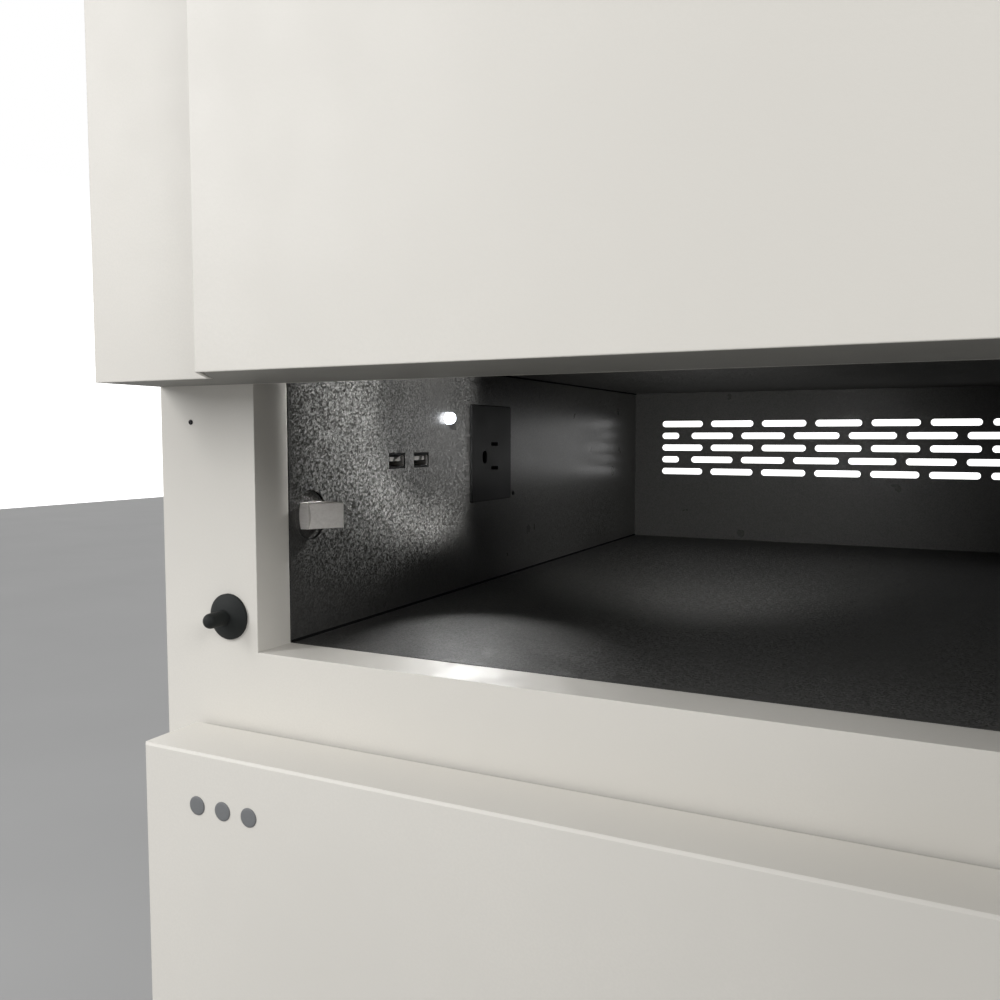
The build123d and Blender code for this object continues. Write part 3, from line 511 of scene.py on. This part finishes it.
# ---- charging fittings -------------------------------------------------------------------------------
USB_MOUTH = (12.5 * MM, 5.12 * MM)
USB_PITCH = 20.7 * MM
MOUTH_CORNER = 0.35 * MM
SHELL = 0.3 * MM
SOCKET_DEPTH = 10.4 * MM
TINNED_STRIP = 0.6 * MM       # the width of the shell that keeps its tin, at its far side; the rest of the shell is painted black as shade
CONTACTS = (-3.5 * MM, -1.15 * MM, 1.15 * MM, 3.5 * MM)
CONTACT_SIZE = (0.5 * MM, 3.6 * MM)
CONTACT_DEPTH = 5.9 * MM
TONGUE_LOW = 0.02 * MM        # the tongue's underside, above the socket's middle
TONGUE_RISE = 1.0 * MM        # the tongue's own middle
TONGUE_SIZE = (5.52 * MM, 4.2 * MM)
TONGUE_DEPTH = 5.6 * MM
TONGUE_END = (4.4 * MM, 1.0 * MM)
TONGUE_END_PLACE = (-0.9 * MM, 0.85 * MM)
TONGUE_END_DEPTH = 0.55 * MM


def usb_shells(bay):
    """Two sockets: a tinned shell painted black as shade except on its lit far side, a tongue, and gilt
    contacts under the tongue.
    """
    low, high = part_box(f"usb_module_{bay}")
    middle = (low + high) / 2
    face = high.x
    code = bmesh.new()
    for side in (-0.5, 0.5):
        y = middle.y + side * USB_PITCH
        side_wall = y + USB_MOUTH[0] / 2
        loops = []
        for x, grow in ((face - SOCKET_DEPTH, -0.02 * MM), (face - 0.35 * MM, -0.02 * MM),
                        (face - 0.22 * MM, -0.10 * MM), (face - 0.22 * MM, -0.18 * MM),
                        (face - 0.5 * MM, -SHELL), (face - SOCKET_DEPTH, -SHELL)):
            outline = round_rectangle(USB_MOUTH[0] / 2 + grow, USB_MOUTH[1] / 2 + grow, MOUTH_CORNER)
            loops.append([Vector((x, y + u, middle.z + v)) for u, v in outline])
        made = len(code.faces)
        loft(code, loops)
        for shell_face in list(code.faces)[made:]:
            # Painted shade: the shell's walls that lie in shadow get the black finish instead of their tin.
            if side_wall - shell_face.calc_center_median().y > TINNED_STRIP:
                shell_face.material_index = 3
        end = (face - TONGUE_END_DEPTH, y + TONGUE_END_PLACE[0], middle.z + TONGUE_END_PLACE[1])
        pad(code, end, (1, 0, 0), *TONGUE_END, 0.14 * MM, 0.25 * MM, 0.05 * MM, 2)
        for way in (1, -1):
            skin = (face - TONGUE_DEPTH, y, middle.z + TONGUE_RISE + way * 0.95 * MM)
            pad(code, skin, (0, 0, way), *TONGUE_SIZE, 0.03 * MM, 0.2 * MM, 0.01 * MM, 2)
        for offset in CONTACTS:
            contact = (face - CONTACT_DEPTH, y + offset, middle.z + TONGUE_LOW)
            pad(code, contact, (0, 0, -1), *CONTACT_SIZE, 0.12 * MM, 0.2 * MM, 0.04 * MM, 1, math.pi / 2)
    piece(f"usb_shells_{bay}", code, [TIN, BRASS, TONGUE_GREY, SEAL_AND_SHADE_BLACK], "cabinet")


BLADE_Y = -33.1 * MM
BLADE_OFFSETS = (4.8 * MM, -7.9 * MM)      # above the outlet's middle
LEAF = (3.2 * MM, 0.3 * MM)                # half width, thickness
LEAF_GAPS = (0.62 * MM, 0.35 * MM, 0.5 * MM, 0.8 * MM)
LEAF_DEPTH = 14.6                          # the inner end of the leaves, behind the outlet's face, mm
LEAF_STEP = 3.4                            # from one gap to the next, mm


def outlet_contacts(bay):
    """Sprung brass leaves inside the blade slots, pinched together in the middle."""
    low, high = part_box(f"mains_outlet_{bay}")
    middle = (low + high) / 2
    code = bmesh.new()
    for offset in BLADE_OFFSETS:
        z = middle.z + offset
        for way in (1, -1):
            loops = []
            for step, gap in enumerate(LEAF_GAPS):
                x = high.x - (LEAF_DEPTH - LEAF_STEP * step) * MM
                near, far = z + way * (gap - LEAF[1] / 2), z + way * gap
                loops.append([Vector((x, BLADE_Y - LEAF[0], near)), Vector((x, BLADE_Y + LEAF[0], near)),
                              Vector((x, BLADE_Y + LEAF[0], far)), Vector((x, BLADE_Y - LEAF[0], far))])
            loft(code, loops, capped=True)
    piece(f"outlet_contacts_{bay}", code, [BRASS], "cabinet")


BEAD = 0.85 * MM
BEAD_PROFILE = [(0.0, 0.0), (1.0, 0.0), (0.62, 0.18), (0.34, 0.34), (0.18, 0.62), (0.0, 1.0)]


def seam_beads(bay):
    """Soft black beads in the corners where a bay's side walls meet its floor and ceiling."""
    code = bmesh.new()
    pan_low, pan_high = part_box("floor_pan_1")
    ceiling_z = floor_tops[bay] + BAY_HEIGHT
    for z, up in ((floor_tops[bay], 1), (ceiling_z, -1)):
        for x, out in ((WALL_X, 1), (RIGHT_X, -1)):
            loops = [[Vector((x + out * BEAD * u, y, z + up * BEAD * v)) for u, v in BEAD_PROFILE]
                     for y in (pan_low.y, pan_high.y)]
            loft(code, loops, capped=True)
    piece(f"seam_beads_{bay}", code, [SEAL_AND_SHADE_BLACK], "cabinet")


for bay in BAYS:
    usb_shells(bay)
    outlet_contacts(bay)
    seam_beads(bay)


# ---- doors -------------------------------------------------------------------------------------------
DOOR_FRONT_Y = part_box("door_shell_1")[0].y
DOOR_LEFT_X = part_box("door_shell_1")[0].x
OPEN_BAY = 4
DOOR_SWING = math.radians(105)
hinges = {joint["name"]: joint for joint in frame["joints"]}


def door_turn(bay):
    """The rest position of a door: the matrix that takes a shut door's point to where it stands."""
    if bay != OPEN_BAY:
        return Matrix.Identity(4)
    pivot = Vector(hinges[f"door_{bay}_hinge"]["pos_m"])
    return Matrix.Translation(pivot) @ Matrix.Rotation(DOOR_SWING, 4, "Z") @ Matrix.Translation(-pivot)


MARK_RADIUS = 3.2 * MM
MARK_PITCH = 11 * MM
MARK_INSET = 24 * MM
MARK_RISE = 74 * MM
TRAY_Y = -230.8 * MM
TRAY_SCREW = 2.2 * MM
TRAY_SCREW_INSET = 40 * MM
TRAY_SCREW_RISES = (-8 * MM, 76 * MM)       # above the bay's floor
STRIKE_SCREW_INSET = 19 * MM
STRIKE_SCREW_RISES = (-7 * MM, 7 * MM)      # above the latch's middle
STRIKE_THICKNESS = 1.6 * MM


def door_marks(bay):
    """As many raised dots as the bay's number, near the free edge of its door."""
    code = bmesh.new()
    z = floor_tops[bay] + MARK_RISE
    for k in range(bay):
        dot(code, (DOOR_LEFT_X + MARK_INSET + k * MARK_PITCH, DOOR_FRONT_Y + 0.02 * MM, z), (0, -1, 0),
            MARK_RADIUS, 0.5 * MM)
    bmesh.ops.transform(code, matrix=door_turn(bay), verts=code.verts)
    piece(f"bay_marks_{bay}", code, [MARK_GREY], f"door_{bay}")


def tray_screws(bay):
    """Screws that hold the inner tray and the strike to the door."""
    code = bmesh.new()
    for x in (DOOR_LEFT_X + TRAY_SCREW_INSET, MID_X, RIGHT_X - TRAY_SCREW_INSET):
        for rise in TRAY_SCREW_RISES:
            socket_screw(code, (x, TRAY_Y, floor_tops[bay] + rise), (0, 1, 0), TRAY_SCREW, 1.3 * MM)
    for rise in STRIKE_SCREW_RISES:
        place = (WALL_X + STRIKE_SCREW_INSET, TRAY_Y + STRIKE_THICKNESS, floor_tops[bay] + LATCH_RISE + rise)
        socket_screw(code, place, (0, 1, 0), TRAY_SCREW, 1.2 * MM)
    bmesh.ops.transform(code, matrix=door_turn(bay), verts=code.verts)
    piece(f"tray_screws_{bay}", code, [FINISHES["zinc_steel"]], f"door_{bay}")


for bay in BAYS:
    door_marks(bay)
    tray_screws(bay)


# ---- console -----------------------------------------------------------------------------------------
glass_low, glass_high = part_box("display_glass")
reader_low, reader_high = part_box("card_reader")
TILE_HEIGHT = 0.12 * MM


def screen_tiles():
    """A plain touch layout: a heading bar and one tile for each bay, marked with dots."""
    code = bmesh.new()
    middle = (glass_low + glass_high) / 2
    width = glass_high.x - glass_low.x
    height = glass_high.z - glass_low.z
    front = glass_low.y + 0.02 * MM
    pad(code, (middle.x, front, glass_high.z - 0.13 * height), (0, -1, 0),
        0.44 * width, 0.055 * height, TILE_HEIGHT, 2 * MM, 0.03 * MM, 1)
    for bay in BAYS:
        x = glass_low.x + width * (0.155 + 0.23 * (bay - 1))
        z = glass_low.z + 0.46 * height
        pad(code, (x, front, z), (0, -1, 0), 0.10 * width, 0.22 * height, TILE_HEIGHT, 3 * MM, 0.03 * MM, 0)
        for k in range(bay):
            dot(code, (x + (k - (bay - 1) / 2) * 7 * MM, front - TILE_HEIGHT, z + 8 * MM), (0, -1, 0),
                2 * MM, 0.05 * MM, 1)
        pad(code, (x, front - TILE_HEIGHT, z - 12 * MM), (0, -1, 0),
            10 * MM, 1.2 * MM, 0.05 * MM, 1 * MM, 0.02 * MM, 1)
    pad(code, (middle.x, front, glass_low.z + 0.09 * height), (0, -1, 0),
        0.12 * width, 0.035 * height, TILE_HEIGHT, 2 * MM, 0.03 * MM, 1)
    piece("screen_tiles", code, [TILE_BLUE, TILE_PALE], "cabinet")


def reader_trim():
    """The card slot's metal lip, with a black strip in it painted as the shade inside the slot, and a ready
    lamp above it.
    """
    code = bmesh.new()
    middle = (reader_low + reader_high) / 2
    front = reader_low.y
    half_u = (reader_high.x - reader_low.x) * 0.36
    half_v = 2.6 * MM
    z = middle.z - 8 * MM
    loops = []
    for out, grow in ((0.0, 1.0 * MM), (0.5 * MM, 0.8 * MM), (0.6 * MM, 0.3 * MM), (0.25 * MM, 0.0),
                      (-0.1 * MM, -0.9 * MM), (-0.1 * MM, -0.6 * MM)):
        outline = round_rectangle(half_u + grow, half_v + grow, 1.1 * MM)
        loops.append([Vector((middle.x + u, front - out, z + v)) for u, v in outline])
    loft(code, loops)
    # Painted shade: a thin black strip stands for the dark inside of the card slot.
    pad(code, (middle.x, front - 0.02 * MM, z), (0, -1, 0), half_u - 1.2 * MM, 0.5 * MM, 0.08 * MM,
        0.3 * MM, 0.02 * MM, 1)
    dot(code, (middle.x, front, middle.z + 16 * MM), (0, -1, 0), 1.8 * MM, 0.5 * MM, 2)
    piece("reader_trim", code, [TIN, BLACK_OXIDE_AND_SLOT_SHADE, READY_GREEN], "cabinet")


screen_tiles()
reader_trim()


# ---- power rocker and feet ---------------------------------------------------------------------------
FOOT_SLOPE = math.tan(math.radians(6))
RIB_SHARES = (0.25, 0.5, 0.75)             # of a foot's height
RIB_SEGMENTS = 48
RIB_SINK = 0.1 * MM
RIB_HALF = (0.55 * MM, 0.8 * MM)           # out from the foot, and up


def foot_ribs():
    """Moulded grip rings round each foot."""
    code = bmesh.new()
    for low, high in islands(NODES["levelling_feet"].data):
        middle = (low + high) / 2
        height = high.z - low.z
        widest = (high.x - low.x) / 2
        for share in RIB_SHARES:
            level = low.z + height * share
            radius = widest - height * share * FOOT_SLOPE
            loops = []
            for turn in range(8):
                angle = math.tau * turn / 8
                ring_radius = radius - RIB_SINK + RIB_HALF[0] * math.cos(angle)
                rise = level + RIB_HALF[1] * math.sin(angle)
                loops.append([Vector((middle.x + ring_radius * math.cos(math.tau * k / RIB_SEGMENTS),
                                      middle.y + ring_radius * math.sin(math.tau * k / RIB_SEGMENTS), rise))
                              for k in range(RIB_SEGMENTS)])
            loft(code, loops)
    piece("foot_ribs", code, [FINISHES["black_rubber"]], "cabinet")


foot_ribs()


ROCKER_AXIS = Vector((-165, 214, 66)) * MM
ROCKER_TILT = 8
ROCKER_SLOPE = 12.5                       # of each half of the rocker's face
ROCKER_FACE = 5.0 * MM                    # from the axis to the middle of each half
ROCKER_HALF = 2.7 * MM


def rocker_marks():
    """A bar on one half of the rocker and a ring on the other."""
    code = bmesh.new()
    for way in (1, -1):
        turn = Matrix.Rotation(math.radians(ROCKER_TILT), 3, "X")
        centre = ROCKER_AXIS + turn @ Vector((0, ROCKER_FACE, way * ROCKER_HALF))
        slope = math.radians(-way * ROCKER_SLOPE)
        facing = turn @ Vector((0, math.cos(slope), math.sin(slope)))
        if way > 0:
            pad(code, centre, facing, 0.25 * MM, 1.4 * MM, 0.12 * MM, 0.2 * MM, 0.05 * MM)
        else:
            dot(code, centre, facing, 1.6 * MM, 0.12 * MM)
            dot(code, centre, facing, 1.1 * MM, 0.17 * MM, 1)
    piece("rocker_marks", code, [MARK_WHITE, FINISHES["black_plastic"]], "rocker")


rocker_marks()


# ---- stage, light and camera -------------------------------------------------------------------------
scene = bpy.context.scene
scene.view_settings.view_transform = "Standard"
scene.view_settings.look = "None"


def studio_world():
    """A white backdrop behind the object, and a broad soft light above and in front, stronger to the left."""
    world = bpy.data.worlds.new("studio")
    world.use_nodes = True
    t = Tree(world.node_tree)
    direction = t.add("ShaderNodeTexCoord").outputs["Generated"]
    x, y, z = t.add("ShaderNodeSeparateXYZ", {0: direction}).outputs
    rise = t.math("POWER", t.math("MAXIMUM", z, 0.0), 0.6)
    lean = t.math("SUBTRACT", 1.0, t.math("MULTIPLY", x, SKY_LEAN))
    above = t.math("MULTIPLY", t.math("MULTIPLY", rise, lean), SKY_STRENGTH)
    ahead = t.math("ADD", above, LOW_STRENGTH)
    level = t.math("ABSOLUTE", z)
    broad = t.ramp(level, [(0.55, 1.0), (0.75, 0.5)])
    behind = t.math("ADD", broad, t.ramp(level, [(0.12, 0.8), (0.25, 0.0)]))
    side = t.ramp(t.math("ADD", t.math("MULTIPLY", y, -0.5), 0.5), [(0.42, 0.0), (0.62, 1.0)])
    total = t.math("ADD", t.math("MULTIPLY", side, ahead),
                   t.math("MULTIPLY", t.math("SUBTRACT", 1.0, side), behind))
    backdrop = t.nodes["Background"]
    backdrop.inputs["Color"].default_value = (1, 1, 1, 1)
    t.put(backdrop.inputs["Strength"], total)
    return world


SKY_STRENGTH = 0.68
SKY_LEAN = 0.45
LOW_STRENGTH = 0.26
scene.world = studio_world()

mesh = bpy.data.meshes.new("stage_floor")
reach = 6.0
corners = [(-reach, -reach, 0), (reach, -reach, 0), (reach, reach, 0), (-reach, reach, 0)]
mesh.from_pydata(corners, [], [(0, 1, 2, 3)])
floor = bpy.data.objects.new("stage_floor", mesh)
scene.collection.objects.link(floor)
floor_finish = Finish("stage_floor")
floor_shade = floor_finish.mix(floor_finish.noise(floor_finish.place, 3, 3.0), grey(0.32), grey(0.36))
floor_finish.set(base=floor_shade, rough=0.7)
mesh.materials.append(floor_finish.material)


def aim(obj, place, target):
    obj.location = place
    obj.rotation_mode = "QUATERNION"
    obj.rotation_quaternion = (Vector(target) - Vector(place)).to_track_quat("-Z", "Y")


def lamp(name, kind, place, target, energy, **settings):
    data = bpy.data.lights.new(name, kind)
    data.energy = energy
    for key, value in settings.items():
        setattr(data, key, value)
    obj = bpy.data.objects.new(name, data)
    scene.collection.objects.link(obj)
    aim(obj, place, target)
    return obj


LIT_SPOT = Vector((-0.15, -0.22, 0.5))
KEY_ENERGY = 21
SIDE_ENERGY = 14
lamp("key", "AREA", (-1.315, -1.609, 1.345), LIT_SPOT, KEY_ENERGY, shape="RECTANGLE", size=0.5, size_y=1.3)
lamp("side", "AREA", (1.42, -1.13, 1.35), LIT_SPOT, SIDE_ENERGY, shape="RECTANGLE", size=0.8, size_y=0.8)

# ---- the bays' own lamps -----------------------------------------------------------------------------
POOL_CENTRE = (-95 * MM, 92 * MM)     # along Y, and above the bay's floor
POOL_RADIUS = 63 * MM
POOL_LAMP_HEIGHT = 13 * MM            # off the wall, so that it rakes over the grain
POOL_RIGHT_EDGE = 52 * MM
POOL_FRONT_EDGE = wall_low.y - POOL_CENTRE[0]      # the light stops where the liner wall does
LENS = (-81.2 * MM, 85.7 * MM)        # along Y, and above the bay's floor
LAMP_SIZE = 1.5 * MM
POOL_ENERGY = 0.045
POOL_GRAIN = 1450
DIM_SHARE = 0.36                      # the disc's level, against its bright rim
FADE_LENGTH = 40 * MM
FLOOR_POOL_ENERGY = 0.5
FLOOR_POOL_SPREAD = math.radians(46)
FLOOR_POOL_GRAIN = 1100
FLOOR_POOL_GAIN = 1.7                 # makes up for what the grain takes away
FLOOR_POOL_AIM = (60 * MM, -168 * MM)
FILL_ENERGY = 2.8
FILL_SPREAD = math.radians(62)
FILL_PLACE = (-185 * MM, 84 * MM)     # along Y, and above the bay's floor
FILL_SIZE = 25 * MM


def direction_parts(tree, height):
    """Where a lamp's ray meets a wall that it faces: (u, v) in metres from the foot of its axis."""
    normal = tree.add("ShaderNodeTexCoord").outputs["Normal"]
    x, y, z = tree.add("ShaderNodeSeparateXYZ", {0: normal}).outputs
    depth = tree.math("MAXIMUM", tree.math("ABSOLUTE", z), 0.001)
    u = tree.math("MULTIPLY", tree.math("DIVIDE", x, depth), height)
    v = tree.math("MULTIPLY", tree.math("DIVIDE", y, depth), height)
    return u, v


def sparkle(tree, place, scale):
    """A fine pattern in a lamp's own light, about 0.6 on average.

    It adds to the speckle that the coat's leaning grains give, which is too faint by itself.
    """
    tone = tree.add("ShaderNodeSeparateColor", {"Color": tree.cells(place, scale, "Color")}).outputs[0]
    return tree.ramp(tone, [(0.0, 0.30), (0.6, 0.62), (0.85, 0.72), (1.0, 1.0)])


def wall_pool(bay):
    """The pool of light on a bay's left wall: an even disc with a bright rim to the front and below.

    It fades towards the door. The shape is drawn in the light of a hidden lamp, not cast by the bay's lens.
    """
    place = Vector((WALL_X + POOL_LAMP_HEIGHT, POOL_CENTRE[0], floor_tops[bay] + POOL_CENTRE[1]))
    obj = lamp(f"wall_pool_{bay}", "SPOT", place, place - Vector((1, 0, 0)), POOL_ENERGY,
               spot_size=math.radians(178), spot_blend=0.05, shadow_soft_size=LAMP_SIZE)
    obj.visible_glossy = False
    obj.data.use_nodes = True
    t = Tree(obj.data.node_tree)
    u, v = direction_parts(t, POOL_LAMP_HEIGHT)
    away = t.math("SQRT", t.math("ADD", t.math("MULTIPLY", u, u), t.math("MULTIPLY", v, v)))
    safe = t.math("MAXIMUM", away, 0.1 * MM)
    down = t.math("MAXIMUM", t.math("DIVIDE", t.math("MULTIPLY", v, -1.0), safe), 0.0)
    toward = t.math("DIVIDE", t.math("ADD", t.math("MULTIPLY", u, -0.8), t.math("MULTIPLY", v, -0.6)), safe)
    inside = t.ramp(t.math("DIVIDE", away, POOL_RADIUS), [(0.60, 0.0), (0.98, 1.0)])
    rim = t.math("MULTIPLY", inside, t.ramp(toward, [(0.05, 0.0), (0.72, 1.0)]))
    level = t.math("ADD", DIM_SHARE, t.math("MULTIPLY", rim, 1 - DIM_SHARE))
    past = t.math("MAXIMUM", t.math("SUBTRACT", away, POOL_RADIUS), 0.0)
    fade_length = t.math("ADD", t.math("MULTIPLY", t.math("SUBTRACT", 1.0, down), FADE_LENGTH), 2 * MM)
    fade = t.math("EXPONENT", t.math("MULTIPLY", t.math("DIVIDE", past, fade_length), -1.0))
    right = t.ramp(t.math("DIVIDE", u, POOL_RIGHT_EDGE), [(0.62, 1.0), (1.0, 0.0)])
    front = t.ramp(t.math("DIVIDE", u, POOL_FRONT_EDGE), [(0.94, 1.0), (0.985, 0.0)])
    upward = t.ramp(t.math("DIVIDE", away, 2 * POOL_RADIUS), [(0.42, 1.0), (0.52, 0.0)])
    unlit = t.ramp(toward, [(0.0, 1.0), (0.25, 0.0)])
    kept = t.math("SUBTRACT", 1.0, t.math("MULTIPLY", unlit, t.math("SUBTRACT", 1.0, upward)))
    spread = t.math("ADD", 1.0, t.math("DIVIDE", t.math("MULTIPLY", away, away), POOL_LAMP_HEIGHT ** 2))
    spread = t.math("POWER", spread, 1.5)
    strength = t.math("MULTIPLY", t.math("MULTIPLY", level, fade), t.math("MULTIPLY", right, kept))
    strength = t.math("MULTIPLY", strength, front)
    place_on_wall = t.add("ShaderNodeCombineXYZ", {0: u, 1: v}).outputs[0]
    strength = t.math("MULTIPLY", strength, sparkle(t, place_on_wall, POOL_GRAIN))
    t.put(t.nodes["Emission"].inputs["Strength"], t.math("MULTIPLY", strength, spread))
    return obj


def floor_pool(bay):
    """A pool of light on the floor, just inside the door, as from the bay's lamp."""
    floor_z = floor_tops[bay]
    lens = Vector((WALL_X + 8 * MM, LENS[0], floor_z + LENS[1]))
    target = Vector((WALL_X + FLOOR_POOL_AIM[0], FLOOR_POOL_AIM[1], floor_z))
    obj = lamp(f"floor_pool_{bay}", "SPOT", lens, target, FLOOR_POOL_ENERGY,
               spot_size=FLOOR_POOL_SPREAD, spot_blend=0.85, shadow_soft_size=LAMP_SIZE)
    obj.data.use_nodes = True
    t = Tree(obj.data.node_tree)
    across, along = direction_parts(t, LENS[1])
    place_on_floor = t.add("ShaderNodeCombineXYZ", {0: across, 1: along}).outputs[0]
    grain = sparkle(t, place_on_floor, FLOOR_POOL_GRAIN)
    t.put(t.nodes["Emission"].inputs["Strength"], t.math("MULTIPLY", grain, FLOOR_POOL_GAIN))


def bay_fill(bay):
    """A soft light just inside the door, which brings up the depth of a bay; no real lamp stands there."""
    floor_z = floor_tops[bay]
    obj = lamp(f"bay_fill_{bay}", "SPOT", (MID_X, FILL_PLACE[0], floor_z + FILL_PLACE[1]),
               (WALL_X + FLOOR_POOL_AIM[0], BACK_Y, floor_z), FILL_ENERGY,
               spot_size=FILL_SPREAD, spot_blend=1.0, shadow_soft_size=FILL_SIZE)
    obj.visible_glossy = False


for bay in BAYS:
    wall_pool(bay)
    floor_pool(bay)
    bay_fill(bay)

# ---- camera ------------------------------------------------------------------------------------------
CAMERA_PLACE = (WALL_X + 216.7 * MM, -464.7 * MM, 511.3 * MM)
CAMERA_DOWN = math.radians(3.95)
CAMERA_LEFT = math.radians(26.15)
camera_data = bpy.data.cameras.new("photo_camera")
camera_data.lens = 32.5
camera_data.sensor_width = 36
camera_data.clip_start = 0.01
camera_data.clip_end = 50
camera = bpy.data.objects.new("photo_camera", camera_data)
camera.location = CAMERA_PLACE
camera.rotation_euler = (math.pi / 2 - CAMERA_DOWN, 0, CAMERA_LEFT)
scene.collection.objects.link(camera)
scene.camera = camera
